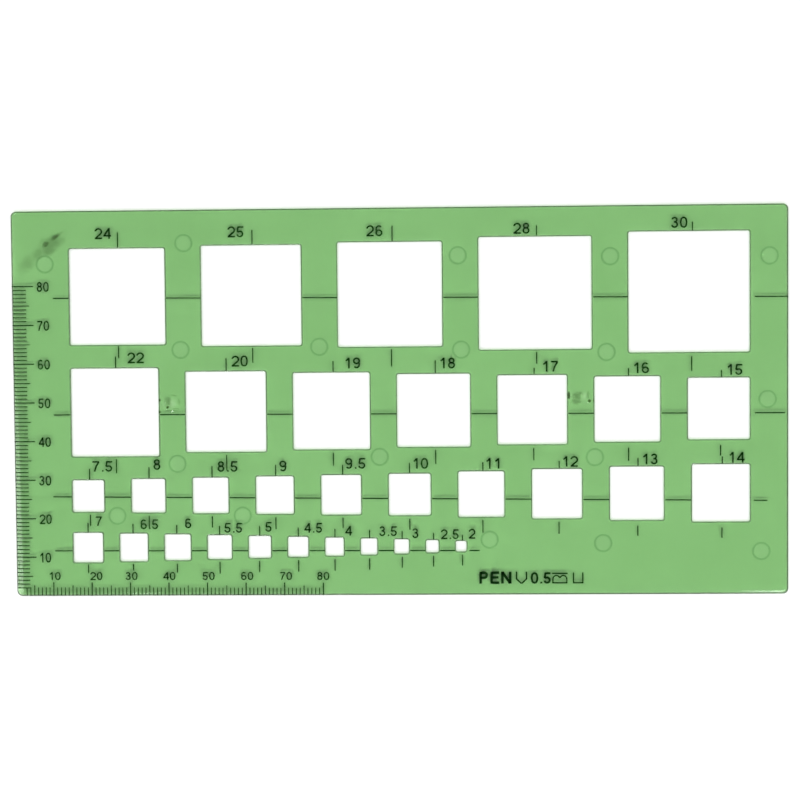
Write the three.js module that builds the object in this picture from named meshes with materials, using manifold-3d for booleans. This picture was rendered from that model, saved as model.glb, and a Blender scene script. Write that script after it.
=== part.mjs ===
// Square drawing template: a moulded plate of clear tinted plastic with square windows in four rows,
// and the ink printed on its top face. Lengths are in millimetres and angles in degrees, +Z is up.
// X runs along the plate's long side and Y along its short side. The plate lies face up on Z = 0,
// with the origin under its middle. Places inside it are counted from its lower left corner, where
// both printed scales start.

import * as THREE from 'three';
import { mergeVertices } from 'three/addons/utils/BufferGeometryUtils.js';
import Module from 'manifold-3d';

const wasm = await Module();
wasm.setup();

// Driving dimensions

const plate = {
  length: 198.7,
  thickness: 1.2,
  cornerRadius: 1.4,
  leftMargin: 14.9,
  rightMargin: 9.7,
  topMargin: 6.75,
};

// The left edge is thinned by one flat bevel, which is widest at the foot of the plate.
const scaleBevel = {
  footWidth: 1.9,
  headWidth: 0.8,
  footDrop: 0.5,
};

// A window is larger than the square it draws, to make room for the pen's tube.
const windows = {
  penAllowance: 0.7,
  cornerRadius: 0.45,
};

// The rows, from the top of the plate down. A row without a web of its own spreads its windows
// from the left margin to the right one. The centre line of a row is printed from a lead before its
// first window to a tail after its last one, starting again past a gap there, and lies slightly low
// and turned on the plate.
const rows = [
  {
    sizes: [24, 25, 26, 28, 30],
    gapBelow: 3.1,
    line: { lead: 4.2, tail: 10.5, tailGap: 1.25, drop: 0.2, turn: 0.35 },
  },
  {
    sizes: [22, 20, 19, 18, 17, 16, 15],
    gapBelow: 2.9,
    line: { lead: 4.5, tail: 8.85, tailGap: 1.25, drop: 0.47, turn: 0.2 },
  },
  {
    sizes: [7.5, 8, 8.5, 9, 9.5, 10, 11, 12, 13, 14],
    gapBelow: 2.2,
    line: { lead: 4.95, tail: 4.4, tailGap: 0.95, drop: 0.0, turn: 0.57 },
  },
  {
    sizes: [7, 6.5, 6, 5.5, 5, 4.5, 4, 3.5, 3, 2.5, 2],
    web: 4.45,
    gapBelow: 8.65,
    line: { lead: 4.7, tail: 3.4, tailGap: 0.75, drop: 0.72, turn: 0.17 },
  },
];

// The print keeps a gap to the windows, and lies slightly to the right on the plate.
const ink = {
  thickness: 0.05,
  lineWidth: 0.3,
  windowGap: 0.28,
  shiftRight: 0.12,
};

// Both scales are printed from the lower left corner, slightly off it and turned on the plate.
const scales = {
  length: 80,
  step: 10,
  turn: 0.25,
  leftMark: 5.25,
  leftZeroShift: 0.15,
  lowerMark: 3.6,
  lowerZeroShift: -0.33,
};

// Round marks that the mould's ejector pins left in the underside. A pin stands in the web before
// the window that gap counts in its row, from 0, and after the last window where gap runs past it.
// Shift is its way to the right of the web's middle, and rise its way up from the row's middle.
const ejectorPins = {
  diameter: 4.5,
  depth: 0.1,
  places: [
    { row: 0, gap: 0, shift: 1.1, rise: 8.5 },
    { row: 0, gap: 1, shift: 0.2, rise: 13.6 },
    { row: 0, gap: 1, shift: -0.9, rise: -13.8 },
    { row: 0, gap: 2, shift: -0.2, rise: -13.3 },
    { row: 0, gap: 3, shift: -0.6, rise: 9.8 },
    { row: 0, gap: 3, shift: 0.1, rise: -14.3 },
    { row: 0, gap: 4, shift: 0.1, rise: 9.2 },
    { row: 0, gap: 4, shift: -0.9, rise: -15.2 },
    { row: 0, gap: 5, shift: 0.2, rise: 9.0 },
    { row: 1, gap: 1, shift: 1.1, rise: -13.4 },
    { row: 1, gap: 3, shift: -1.1, rise: -11.9 },
    { row: 1, gap: 7, shift: -0.3, rise: 2.3 },
    { row: 2, gap: 1, shift: -0.3, rise: -5.2 },
    { row: 2, gap: 3, shift: 0.0, rise: -5.3 },
    { row: 2, gap: 7, shift: -7.4, rise: -11.8 },
    { row: 2, gap: 8, shift: -0.2, rise: 9.3 },
    { row: 2, gap: 8, shift: 1.8, rise: -12.8 },
    { row: 2, gap: 10, shift: -1.9, rise: -15.0 },
  ],
};

// Scars in the underside where the mould's two gates were cut off, each beside a window and open
// to it
const gateScars = {
  depth: 0.2,
  places: [
    { row: 1, window: 0, rise: 1.6, length: 4.3, width: 4.2 },
    { row: 1, window: 4, rise: 3.2, length: 6.2, width: 3.1 },
  ],
};

// How far a cutting body reaches past what it cuts
const overcut = 1;

// Facets: steps in a quarter of a round corner, and sides of an ejector pin
const plateCornerSteps = 8;
const windowCornerSteps = 4;
const pinSides = 16;

// Layout

function windowSide(size) {
  return size + windows.penAllowance;
}

function sumOfSides(row) {
  return row.sizes.reduce((sum, size) => sum + windowSide(size), 0);
}

const fieldLength = plate.length - plate.leftMargin - plate.rightMargin;

// The windows of one row, from left to right, about the row's middle height
function layOutWindows(row, middle) {
  const web = row.web ?? (fieldLength - sumOfSides(row)) / (row.sizes.length - 1);
  let left = plate.leftMargin;
  return row.sizes.map((size) => {
    const side = windowSide(size);
    const square = { left, right: left + side, bottom: middle - side / 2, top: middle + side / 2 };
    left += side + web;
    return square;
  });
}

// The rows with their middle heights and windows, stacked from the plate's lower edge up
function layOutRows() {
  let height = 0;
  const stack = rows.toReversed().map((row) => {
    const rowHeight = windowSide(Math.max(...row.sizes));
    const middle = height + row.gapBelow + rowHeight / 2;
    height = middle + rowHeight / 2;
    return { ...row, middle, squares: layOutWindows(row, middle) };
  });
  return { layout: stack.toReversed(), fieldTop: height };
}

const { layout, fieldTop } = layOutRows();
const plateWidth = fieldTop + plate.topMargin;

// The middle of the web before a window, or of the margin at either end of the row
function webMiddle(row, gap) {
  const before = gap > 0 ? row.squares[gap - 1].right : 0;
  const after = gap < row.squares.length ? row.squares[gap].left : plate.length;
  return (before + after) / 2;
}

function squareMiddle(square) {
  return (square.left + square.right) / 2;
}

// Solids and meshes

function toSolid(geometry) {
  geometry.deleteAttribute('normal');
  geometry.deleteAttribute('uv');
  const merged = mergeVertices(geometry);
  return new wasm.Manifold(new wasm.Mesh({
    numProp: 3,
    vertProperties: new Float32Array(merged.attributes.position.array),
    triVerts: new Uint32Array(merged.index.array),
  }));
}

function toGeometry(solid) {
  const { vertProperties, triVerts } = solid.getMesh();
  const geometry = new THREE.BufferGeometry();
  geometry.setAttribute('position', new THREE.BufferAttribute(vertProperties, 3));
  geometry.setIndex(new THREE.BufferAttribute(triVerts, 1));
  return geometry;
}

function namedMesh(name, geometry, material) {
  const mesh = new THREE.Mesh(geometry, material);
  mesh.name = name;
  return mesh;
}

// A rectangle with round corners, whose radius its shorter side limits
function roundedRectangle({ left, right, bottom, top }, cornerRadius) {
  const radius = Math.min(cornerRadius, (right - left) / 2, (top - bottom) / 2);
  const quarter = Math.PI / 2;
  const shape = new THREE.Shape();
  shape.absarc(right - radius, bottom + radius, radius, -quarter, 0);
  shape.absarc(right - radius, top - radius, radius, 0, quarter);
  shape.absarc(left + radius, top - radius, radius, quarter, 2 * quarter);
  shape.absarc(left + radius, bottom + radius, radius, 2 * quarter, 3 * quarter);
  shape.closePath();
  return shape;
}

// A prism over an outline. The geometry splits an arc into twice as many steps as it is given.
function prism(shapes, bottom, top, cornerSteps) {
  const options = { depth: top - bottom, bevelEnabled: false, curveSegments: cornerSteps / 2 };
  return new THREE.ExtrudeGeometry(shapes, options).translate(0, 0, bottom);
}

// Plate

// Cutters for all windows, each grown by a gap all round and shifted to the right
function windowCutters(gap, shift) {
  const squares = layout.flatMap((row) => row.squares);
  const shapes = squares.map((square) => roundedRectangle({
    left: square.left - gap + shift,
    right: square.right + gap + shift,
    bottom: square.bottom - gap,
    top: square.top + gap,
  }, windows.cornerRadius + gap));
  return toSolid(prism(shapes, -overcut, plate.thickness + overcut, windowCornerSteps));
}

// A wedge over the left edge. Its lower face starts at the bevel's crest on the top face.
function bevelCutter() {
  const slope = scaleBevel.footDrop / scaleBevel.footWidth;
  const reach = scaleBevel.footWidth + overcut;
  const profile = new THREE.Shape([
    new THREE.Vector2(0, 0),
    new THREE.Vector2(0, overcut),
    new THREE.Vector2(-reach, overcut),
    new THREE.Vector2(-reach, -slope * reach),
  ]);
  const turn = Math.atan2(scaleBevel.footWidth - scaleBevel.headWidth, plateWidth);
  const wedge = new THREE.ExtrudeGeometry(profile, {
    depth: plateWidth + 2 * overcut,
    bevelEnabled: false,
  });
  wedge.rotateX(Math.PI / 2).translate(0, plateWidth + overcut, 0).rotateZ(turn);
  return toSolid(wedge.translate(scaleBevel.footWidth, 0, plate.thickness));
}

function pinCutter(place) {
  const row = layout[place.row];
  const radius = ejectorPins.diameter / 2;
  const pin = new THREE.CylinderGeometry(radius, radius, 2 * ejectorPins.depth, pinSides);
  pin.rotateX(Math.PI / 2);
  return toSolid(pin.translate(webMiddle(row, place.gap) + place.shift, row.middle + place.rise, 0));
}

// A flat round-ended hollow that starts inside its window and ends in the web
function scarCutter(place) {
  const row = layout[place.row];
  const edge = row.squares[place.window].right;
  const middle = row.middle + place.rise;
  const outline = {
    left: edge - place.width / 2,
    right: edge + place.length,
    bottom: middle - place.width / 2,
    top: middle + place.width / 2,
  };
  const shape = roundedRectangle(outline, place.width / 2);
  return toSolid(prism([shape], -overcut, gateScars.depth, plateCornerSteps));
}

function makePlate() {
  const outline = { left: 0, right: plate.length, bottom: 0, top: plateWidth };
  const shape = roundedRectangle(outline, plate.cornerRadius);
  const cutters = [
    windowCutters(0, 0),
    bevelCutter(),
    ...ejectorPins.places.map(pinCutter),
    ...gateScars.places.map(scarCutter),
  ];
  const blank = toSolid(prism([shape], 0, plate.thickness, plateCornerSteps));
  return cutters.reduce((solid, cutter) => solid.subtract(cutter), blank);
}

// Print

// A thin film over the plate's top face and its bevel, clear of the windows
function makeFilm(plateSolid) {
  const raised = toSolid(toGeometry(plateSolid).translate(0, 0, ink.thickness));
  return raised.subtract(plateSolid).subtract(windowCutters(ink.windowGap, ink.shiftRight));
}

// An upright sheet as thick as a printed line, from one point of the plate's left edge line to
// another place along X, turned clockwise about the point (0, y)
function sheetAlongX(start, end, y, turn) {
  const height = plate.thickness + 2 * overcut;
  const box = new THREE.BoxGeometry(end - start, ink.lineWidth, height);
  box.translate((start + end) / 2, 0, height / 2);
  return box.rotateZ(-THREE.MathUtils.degToRad(turn)).translate(0, y, 0);
}

// Where a stretch of a row's centre line starts and ends along the row. The windows cut the stretch
// between two of them, so it runs from one window's middle to the next.
function stretchStart({ squares, line }, gap) {
  if (gap === 0) {
    return squares[0].left - line.lead;
  }
  const before = squares[gap - 1];
  return gap === squares.length ? before.right + line.tailGap : squareMiddle(before);
}

function stretchEnd({ squares, line }, gap) {
  return gap === squares.length ? squares[gap - 1].right + line.tail : squareMiddle(squares[gap]);
}

function centreLine(row, gap) {
  const { line, middle } = row;
  return sheetAlongX(stretchStart(row, gap), stretchEnd(row, gap), middle - line.drop, line.turn);
}

// A mark of the left scale: from outside the plate inwards, at a distance up from the corner
function leftMark(distance) {
  const sheet = sheetAlongX(-overcut, scales.leftMark, distance + scales.leftZeroShift, 0);
  return sheet.rotateZ(-THREE.MathUtils.degToRad(scales.turn));
}

// A mark of the lower scale, at a distance to the right of the corner
function lowerMark(distance) {
  const sheet = sheetAlongX(-overcut, scales.lowerMark, 0, 0).rotateZ(Math.PI / 2);
  sheet.translate(distance + scales.lowerZeroShift, 0, 0);
  return sheet.rotateZ(-THREE.MathUtils.degToRad(scales.turn));
}

// Every printed line with its name, as an upright sheet that the film is cut to
function printedLines() {
  const lines = [];
  layout.forEach((row, rowIndex) => {
    for (let gap = 0; gap <= row.squares.length; gap += 1) {
      lines.push([`row_${rowIndex + 1}_centre_line_${gap + 1}`, centreLine(row, gap)]);
    }
  });
  for (let distance = scales.step; distance <= scales.length; distance += scales.step) {
    lines.push([`left_scale_mark_${distance}`, leftMark(distance)]);
    lines.push([`lower_scale_mark_${distance}`, lowerMark(distance)]);
  }
  return lines;
}

// Materials

function tintedPlastic() {
  return new THREE.MeshStandardMaterial({
    color: 0x78b968,
    roughness: 0.12,
    metalness: 0,
    flatShading: true,
    transparent: true,
    opacity: 0.75,
  });
}

function printingInk() {
  return new THREE.MeshStandardMaterial({
    color: 0x0c140c,
    roughness: 0.55,
    metalness: 0,
    flatShading: true,
  });
}

// Assembly

function makeTemplate() {
  const template = new THREE.Group();
  template.name = 'square_template';
  const plateSolid = makePlate();
  template.add(namedMesh('template_plate', toGeometry(plateSolid), tintedPlastic()));
  const film = makeFilm(plateSolid);
  for (const [name, sheet] of printedLines()) {
    template.add(namedMesh(name, toGeometry(film.intersect(toSolid(sheet))), printingInk()));
  }
  template.position.set(-plate.length / 2, -plateWidth / 2, 0);
  return template;
}

export default makeTemplate();
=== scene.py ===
"""A square drawing template: a clear tinted moulding with printed lines, scales and numbers.

The plate lies face up on a white table top. Sizes here are in millimetres and degrees, counted
from the plate's lower left corner and from its underside. Finished meshes are in metres, counted
from the middle of the underside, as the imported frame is.
"""

import logging
import math
from collections.abc import Sequence
from dataclasses import dataclass
from enum import Enum

import bmesh
import bpy
from mathutils import Matrix, Vector, noise


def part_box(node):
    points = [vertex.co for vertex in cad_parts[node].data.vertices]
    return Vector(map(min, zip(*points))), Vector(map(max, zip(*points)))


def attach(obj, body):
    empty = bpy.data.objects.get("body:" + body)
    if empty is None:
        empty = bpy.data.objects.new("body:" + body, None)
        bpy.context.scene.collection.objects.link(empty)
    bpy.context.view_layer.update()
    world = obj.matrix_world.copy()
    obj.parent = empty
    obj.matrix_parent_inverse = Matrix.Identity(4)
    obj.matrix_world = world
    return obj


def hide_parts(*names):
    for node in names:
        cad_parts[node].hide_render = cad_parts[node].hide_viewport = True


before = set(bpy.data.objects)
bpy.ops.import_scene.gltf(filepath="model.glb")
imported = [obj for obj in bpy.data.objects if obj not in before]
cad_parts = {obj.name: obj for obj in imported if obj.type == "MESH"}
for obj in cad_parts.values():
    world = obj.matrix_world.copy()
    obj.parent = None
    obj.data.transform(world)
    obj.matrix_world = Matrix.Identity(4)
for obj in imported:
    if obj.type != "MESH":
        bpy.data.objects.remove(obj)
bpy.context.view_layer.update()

log = logging.getLogger("square_template")

MM = 0.001
PLATE_NODE = "template_plate"
BODY = "root"
WHITE = (1.0, 1.0, 1.0, 1.0)


class Side(Enum):
    """The side of a window on which a mark stands, as its way along Y."""

    ABOVE = 1
    BELOW = -1


class Edge(Enum):
    """An edge of the plate that carries a scale."""

    LEFT = "left"
    LOWER = "lower"


@dataclass(frozen=True)
class Rectangle:
    """An upright rectangle on the plate."""

    left: float
    right: float
    bottom: float
    top: float

    @property
    def width(self) -> float:
        """The size along X."""
        return self.right - self.left

    @property
    def height(self) -> float:
        """The size along Y."""
        return self.top - self.bottom

    @property
    def middle(self) -> tuple[float, float]:
        """The middle point."""
        return (self.left + self.right) / 2, (self.bottom + self.top) / 2

    def grown(self, by: float) -> "Rectangle":
        """The rectangle with each side moved outwards."""
        return Rectangle(self.left - by, self.right + by, self.bottom - by, self.top + by)


@dataclass(frozen=True)
class CentreTick:
    """An upright tick at a window's middle.

    It has a shift from there, and starts and ends at distances from the window's edge.
    """

    shift: float
    near: float
    far: float


@dataclass(frozen=True)
class Row:
    """A row of square windows with its print."""

    number: int
    sizes: tuple[float, ...]
    gap_below: float
    web: float | None
    digit_height: float
    digit_stretch: float
    number_places: tuple[tuple[float, float], ...]
    ticks_above: tuple[CentreTick, ...]
    ticks_below: tuple[CentreTick, ...]


def ticks(shifts: tuple[float, ...], nears: tuple[float, ...], fars: tuple[float, ...]) -> tuple:
    """Joins the sizes of a row's ticks.

    Args:
        shifts: How far right of its window's middle each tick stands.
        nears: Where each tick starts, from the window's edge.
        fars: Where each tick ends, from the window's edge.

    Returns:
        One CentreTick for each window.
    """
    return tuple(CentreTick(*sizes) for sizes in zip(shifts, nears, fars))


ROWS = (
    Row(
        number=1,
        sizes=(24, 25, 26, 28, 30),
        gap_below=3.1,
        web=None,
        digit_height=2.78,
        digit_stretch=1.05,
        number_places=tuple(zip((-5.5, -5.85, -5.85, -5.45, -4.55), (2.5, 2.1, 1.5, 0.75, 0.85))),
        ticks_above=ticks(
            (0.39, 0.45, 0.75, 0.45, 0.84), (0.3, 0.25, 0.25, 0.3, 0.05), (4.2, 3.9, 4.15, 2.9, 2.4)
        ),
        ticks_below=ticks(
            (0.26, 0.28, 0.32, 0.32, 0.6), (0.35, 0.6, 0.65, 0.7, 1.05), (3.45, 4.4, 5.1, 3.7, 4.8)
        ),
    ),
    Row(
        number=2,
        sizes=(22, 20, 19, 18, 17, 16, 15),
        gap_below=2.9,
        web=None,
        digit_height=2.75,
        digit_stretch=1.07,
        number_places=tuple(
            zip(
                (3.5, 1.65, 3.7, 1.8, 2.8, 1.7, 2.15),
                (1.35, 1.3, 1.1, 1.4, 0.85, 0.8, 0.7),
            )
        ),
        ticks_above=ticks(
            (0.42, 0.25, 0.54, 0.51, 0.51, 0.29, 0.62),
            (0.2, 0.25, 0.2, 0.25, 0.3, 0.15, 0.2),
            (3.1, 3.4, 3.0, 3.5, 1.85, 2.15, 1.95),
        ),
        ticks_below=ticks(
            (0.24, 0.1, 0.38, 0.45, 0.32, 0.24, 0.37),
            (0.65, 0.75, 0.9, 0.8, 0.95, 1.5, 1.45),
            (4.35, 4.8, 4.2, 4.4, 4.1, 4.9, 4.2),
        ),
    ),
    Row(
        number=3,
        sizes=(7.5, 8, 8.5, 9, 9.5, 10, 11, 12, 13, 14),
        gap_below=2.2,
        web=None,
        digit_height=2.72,
        digit_stretch=1.07,
        number_places=tuple(
            zip(
                (1.25, 1.45, 1.9, 1.25, 1.1, 1.0, 1.3, 1.55, 1.55, 2.1),
                (2.25, 2.4, 1.55, 1.35, 1.65, 1.3, 0.7, 0.6, 0.6, 0.4),
            )
        ),
        ticks_above=ticks(
            (0.49, 0.28, 0.48, 0.31, 0.43, 0.0, 0.43, 0.57, 0.29, 0.3),
            (0.15, 0.1, 0.1, 0.1, 0.1, 0.25, 0.2, 0.3, 0.25, 0.15),
            (3.0, 3.1, 3.0, 3.0, 2.65, 2.8, 2.45, 2.1, 2.25, 2.0),
        ),
        ticks_below=ticks(
            (0.53, 0.17, 0.41, 0.22, 0.41, -0.02, 0.35, 0.45, 0.18, 0.2),
            (0.7, 0.8, 0.75, 0.8, 0.75, 0.9, 0.8, 0.85, 1.4, 1.5),
            (3.6, 4.1, 3.7, 3.9, 3.5, 3.7, 4.05, 3.9, 4.0, 4.1),
        ),
    ),
    Row(
        number=4,
        sizes=(7, 6.5, 6, 5.5, 5, 4.5, 4, 3.5, 3, 2.5, 2),
        gap_below=8.65,
        web=4.45,
        digit_height=2.5,
        digit_stretch=1.02,
        number_places=tuple(
            zip(
                (2.15, 1.85, 2.0, 1.3, 1.5, 1.65, 2.8, 2.65, 2.75, 2.2, 1.95),
                (1.8, 1.2, 1.65, 0.7, 1.15, 1.1, 0.55, 0.65, 0.35, 0.3, 0.65),
            )
        ),
        ticks_above=ticks(
            (0.1, -0.11, -0.14, 0.05, 0.02, 0.1, 0.16, 0.18, 0.15, 0.33, 0.33),
            (0.1, 0.15, 0.15, 0.1, 0.05, 0.05, 0.05, 0.05, 0.05, 0.1, 0.1),
            (2.6, 2.6, 2.5, 2.45, 2.65, 2.4, 2.3, 2.25, 2.2, 1.9, 1.6),
        ),
        ticks_below=ticks(
            (0.08, -0.13, -0.13, 0.06, -0.09, 0.11, 0.1, 0.13, 0.13, 0.3, 0.31),
            (0.45, 0.6, 0.85, 0.7, 0.7, 0.75, 0.9, 0.9, 0.8, 0.8, 0.8),
            (2.7, 2.3, 3.2, 3.7, 3.6, 3.75, 3.8, 3.85, 3.6, 3.6, 3.6),
        ),
    ),
)


@dataclass(frozen=True)
class Layout:
    """Where the windows lie on the plate."""

    length: float
    rows: tuple[Row, ...] = ROWS
    left_margin: float = 14.9
    right_margin: float = 9.7
    pen_allowance: float = 0.7

    def side(self, size: float) -> float:
        """The side of the window that draws a square of a size."""
        return size + self.pen_allowance

    def web(self, row: Row) -> float:
        """Finds the width of plastic between two windows of a row.

        Args:
            row: The row of windows.

        Returns:
            The web's width.
        """
        if row.web is not None:
            return row.web
        field_length = self.length - self.left_margin - self.right_margin
        taken = sum(self.side(size) for size in row.sizes)
        return (field_length - taken) / (len(row.sizes) - 1)

    def middle(self, row: Row) -> float:
        """Finds the height of a row's middle over the plate's lower edge.

        Args:
            row: The row of windows.

        Returns:
            The middle's place along Y.
        """
        height = 0.0
        for below in reversed(self.rows):
            row_height = self.side(max(below.sizes))
            if below is row:
                return height + below.gap_below + row_height / 2
            height += below.gap_below + row_height
        raise ValueError(f"row {row.number} isn't on the plate")

    def windows(self, row: Row) -> list[Rectangle]:
        """Lays out one row.

        Args:
            row: The row of windows.

        Returns:
            The row's windows from left to right.
        """
        middle = self.middle(row)
        left = self.left_margin
        found = []
        for size in row.sizes:
            side = self.side(size)
            found.append(Rectangle(left, left + side, middle - side / 2, middle + side / 2))
            left += side + self.web(row)
        return found

    def web_middle(self, row: Row, gap: int) -> float:
        """The middle of a web, or of a margin at either end of the row.

        Args:
            row: The row of windows.
            gap: The number of windows left of the web.

        Returns:
            Its place along X.
        """
        squares = self.windows(row)
        before = squares[gap - 1].right if gap else 0.0
        after = squares[gap].left if gap < len(squares) else self.length
        return (before + after) / 2


class NodeTree:
    """Adds nodes and links to one material or world."""

    def __init__(self, owner: bpy.types.Material | bpy.types.World) -> None:
        """Empties the owner's tree.

        Args:
            owner: The material or world that gets the nodes.
        """
        owner.use_nodes = True
        self.tree = owner.node_tree
        self.tree.nodes.clear()

    def add(self, kind: str, inputs: dict | None = None, **settings) -> bpy.types.Node:
        """Adds one node.

        Args:
            kind: The node's type without its ShaderNode prefix.
            inputs: Values or output sockets for its inputs, by name or number.
            settings: The node's own settings.

        Returns:
            The new node.
        """
        node = self.tree.nodes.new("ShaderNode" + kind)
        for name, value in settings.items():
            setattr(node, name, value)
        for key, value in (inputs or {}).items():
            if isinstance(value, bpy.types.NodeSocket):
                self.tree.links.new(value, node.inputs[key])
            else:
                node.inputs[key].default_value = value
        return node

    def maths(self, operation: str, *values) -> bpy.types.NodeSocket:
        """Adds a Math node on numbers or sockets and gives its result."""
        node = self.add("Math", dict(enumerate(values)), operation=operation)
        return node.outputs["Value"]

    def mix_colour(self, factor, first, second) -> bpy.types.NodeSocket:
        """Adds a colour mix and gives its result.

        Args:
            factor: The share of the second colour.
            first: A colour or a socket.
            second: A colour or a socket.

        Returns:
            The mixed colour.
        """
        node = self.add("Mix", {0: factor, 6: first, 7: second}, data_type="RGBA")
        return node.outputs[2]

    def ramp(self, value, start: float, end: float) -> bpy.types.NodeSocket:
        """Turns a value's range into a smooth step from 0 to 1.

        Args:
            value: The value's socket.
            start: The value that gives 0.
            end: The value that gives 1.

        Returns:
            The step's socket.
        """
        node = self.add(
            "MapRange",
            {"Value": value, "From Min": start, "From Max": end},
            interpolation_type="SMOOTHSTEP",
        )
        return node.outputs["Result"]

    def watched_rays(self) -> bpy.types.NodeSocket:
        """Tells the rays that a viewer sees from those that only carry light.

        Returns:
            1 for a camera, glossy or transmission ray, and 0 for any other.
        """
        path = self.add("LightPath").outputs
        looked = self.maths("MAXIMUM", path["Is Camera Ray"], path["Is Glossy Ray"])
        return self.maths("MAXIMUM", looked, path["Is Transmission Ray"])


@dataclass(frozen=True)
class Stain:
    """An oval dark patch or speck on the plate, in plate millimetres."""

    x: float
    y: float
    length: float
    width: float
    depth: float
    turn: float = 0.0
    core: float = 0.15
    ragged: float = 1.1


STAINS = (
    Stain(10.4, 91.2, 10.5, 5.0, 0.42, turn=33),
    Stain(9.0, 90.9, 3.0, 2.0, 0.85, turn=30),
    Stain(11.6, 92.8, 5.2, 2.0, 0.85, turn=35),
    Stain(9.8, 89.3, 6.0, 3.0, 0.4, turn=22, ragged=0.6),
    Stain(6.9, 88.5, 6.5, 3.6, 0.3, turn=42, ragged=0.5),
    Stain(4.0, 86.0, 7.2, 5.0, 0.25, turn=45, ragged=0.8),
    Stain(37.8, 50.6, 0.9, 1.0, 0.95, core=0.4, ragged=0.3),
    Stain(37.8, 47.5, 0.9, 0.9, 0.95, core=0.4, ragged=0.3),
    Stain(39.9, 48.75, 0.85, 0.85, 0.97, core=0.5, ragged=0.3),
    Stain(40.0, 50.2, 2.4, 3.4, 0.42, ragged=1.4),
    Stain(41.5, 51.8, 2.6, 0.7, 0.22, turn=-10, ragged=0.6),
    Stain(42.9, 50.2, 0.7, 2.2, 0.2, turn=10, ragged=0.6),
    Stain(40.6, 47.9, 4.6, 0.4, 0.4, ragged=0.8),
    Stain(42.0, 48.4, 2.6, 0.35, 0.3, ragged=0.8),
    Stain(143.05, 51.1, 0.8, 2.4, 0.95, core=0.5, ragged=0.2),
    Stain(145.2, 51.0, 3.4, 2.8, 0.5, ragged=1.6),
    Stain(145.0, 49.6, 3.4, 1.9, 0.42, ragged=1.6),
    Stain(148.0, 51.2, 0.8, 2.6, 0.26, ragged=0.6),
    Stain(148.25, 49.65, 0.95, 0.95, 0.97, core=0.5, ragged=0.3),
    Stain(149.4, 49.7, 0.5, 1.4, 0.7, core=0.3, ragged=0.3),
    Stain(3.6, 40.5, 0.5, 0.5, 0.5, core=0.4, ragged=0.4),
)


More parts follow.
